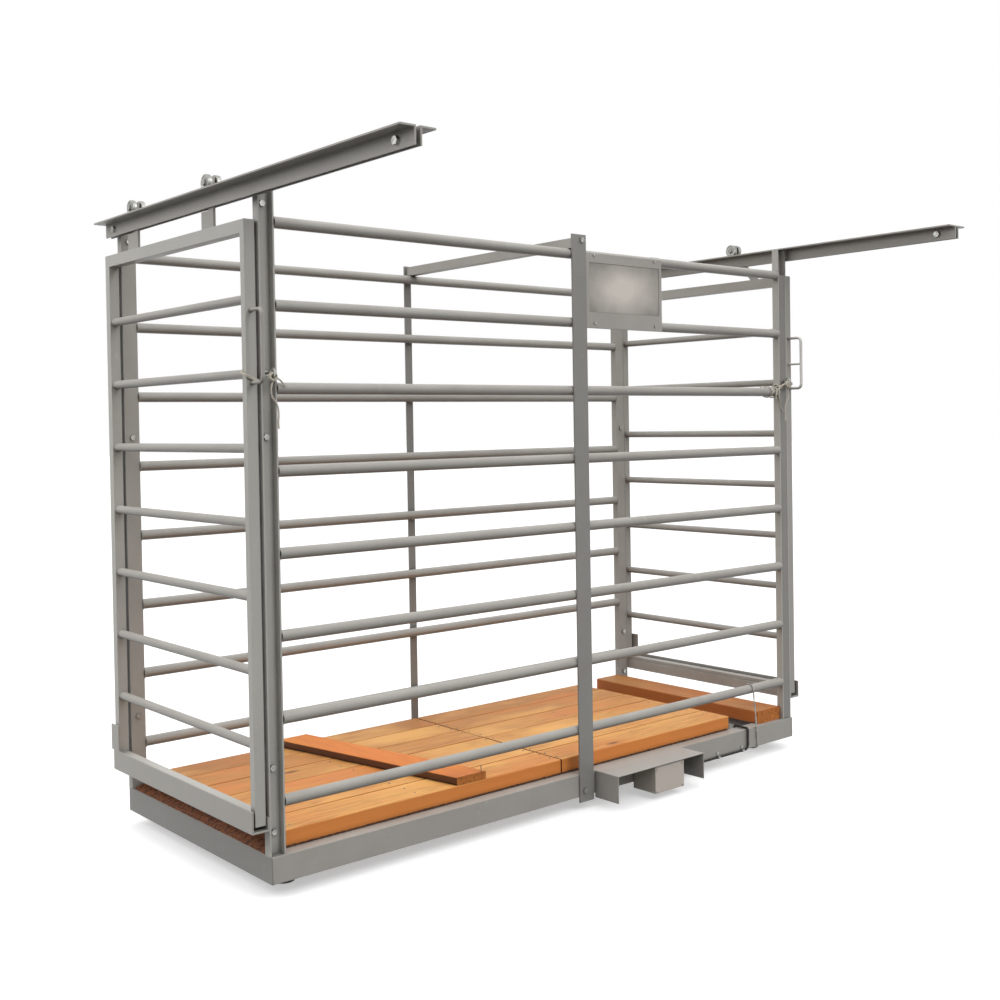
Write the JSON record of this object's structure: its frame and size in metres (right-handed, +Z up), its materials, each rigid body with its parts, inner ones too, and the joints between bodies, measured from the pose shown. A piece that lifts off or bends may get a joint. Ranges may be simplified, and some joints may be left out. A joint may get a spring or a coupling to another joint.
{
  "type": "livestock weighing crate",
  "caption": "Free-standing barred crate on load cells with a plank floor, a bare sign plate and wheeled gates that slide sideways on overhead tracks at both ends.",
  "frame": {"origin": "On the ground, midway along the crate and midway between the two ends of the overhead tracks.", "axes": "+X along the crate to its right end, +Y from the barred front with the sign plate to the back, +Z up."},
  "size_m": [2.525, 1.711, 2.0443],
  "materials": {
    "painted_steel": "satin grey paint",
    "floor_timber": "sawn, oiled",
    "plated_steel": "zinc plated",
    "cast_feet": "painted casting",
    "box_metal": "grey enamel",
    "black_plastic": "moulded",
    "cable_sheath": "extruded sheath",
    "twine": "twisted"
  },
  "bodies": {
    "crate": {"front_sill": "painted_steel", "back_sill": "painted_steel", "left_sill": "painted_steel", "right_sill": "painted_steel", "floor_joists": "painted_steel", "floor_planks": "floor_timber", "end_board": "floor_timber", "floor_cleat": "floor_timber", "load_cells": "plated_steel", "load_cell_feet": "cast_feet", "front_left_post": "painted_steel", "front_right_post": "painted_steel", "back_left_post": "painted_steel", "back_right_post": "painted_steel", "front_rail_1": "painted_steel", "front_rail_2": "painted_steel", "front_rail_3": "painted_steel", "front_rail_4": "painted_steel", "front_rail_5": "painted_steel", "front_rail_6": "painted_steel", "front_rail_7": "painted_steel", "front_rail_8": "painted_steel", "back_rail_1": "painted_steel", "back_rail_2": "painted_steel", "back_rail_3": "painted_steel", "back_rail_4": "painted_steel", "back_rail_5": "painted_steel", "back_rail_6": "painted_steel", "back_rail_7": "painted_steel", "back_rail_8": "painted_steel", "front_mid_post": "painted_steel", "back_mid_post": "painted_steel", "top_cross_bar": "painted_steel", "sign_plate": "painted_steel", "junction_box_hood": "painted_steel", "junction_box": "box_metal", "junction_box_lid": "box_metal", "cable_glands": "black_plastic", "sill_cable": "cable_sheath", "cable_clips": "plated_steel", "left_track_inner": "painted_steel", "left_track_outer": "painted_steel", "right_track_inner": "painted_steel", "right_track_outer": "painted_steel", "left_gate_guide": "painted_steel", "right_gate_guide": "painted_steel", "frame_bolts": "plated_steel", "tie_cords": "twine"},
    "left_gate": {"left_gate_frame": "painted_steel", "left_gate_bars": "painted_steel", "left_gate_hangers": "painted_steel", "left_gate_handle": "painted_steel"},
    "left_front_trolley": {"left_front_wheels": "plated_steel"},
    "left_back_trolley": {"left_back_wheels": "plated_steel"},
    "right_gate": {"right_gate_frame": "painted_steel", "right_gate_bars": "painted_steel", "right_gate_hangers": "painted_steel", "right_gate_handle": "painted_steel"},
    "right_front_trolley": {"right_front_wheels": "plated_steel"},
    "right_back_trolley": {"right_back_wheels": "plated_steel"}
  },
  "joints": [
    {"name": "left_gate_slide", "type": "slide", "parent": "crate", "child": "left_gate", "axis": [0, -1, 0], "range_m": [0, 0.892]},
    {"name": "left_front_wheel_spin", "type": "hinge", "parent": "left_gate", "child": "left_front_trolley", "pos_m": [-1.2105, 0.1365, 2.0203], "axis": [1, 0, 0], "continuous": true},
    {"name": "left_back_wheel_spin", "type": "hinge", "parent": "left_gate", "child": "left_back_trolley", "pos_m": [-1.2105, 0.6415, 2.0203], "axis": [1, 0, 0], "continuous": true},
    {"name": "right_gate_slide", "type": "slide", "parent": "crate", "child": "right_gate", "axis": [0, -1, 0], "range_m": [0, 0.862]},
    {"name": "right_front_wheel_spin", "type": "hinge", "parent": "right_gate", "child": "right_front_trolley", "pos_m": [1.2105, 0.1955, 2.0203], "axis": [1, 0, 0], "continuous": true},
    {"name": "right_back_wheel_spin", "type": "hinge", "parent": "right_gate", "child": "right_back_trolley", "pos_m": [1.2105, 0.6415, 2.0203], "axis": [1, 0, 0], "continuous": true}
  ],
  "couplings": [
    {"joint": "left_front_wheel_spin", "follows": "left_gate_slide", "rad_per_m": 41.152},
    {"joint": "left_back_wheel_spin", "follows": "left_gate_slide", "rad_per_m": 41.152},
    {"joint": "right_front_wheel_spin", "follows": "right_gate_slide", "rad_per_m": 41.152},
    {"joint": "right_back_wheel_spin", "follows": "right_gate_slide", "rad_per_m": 41.152}
  ]
}
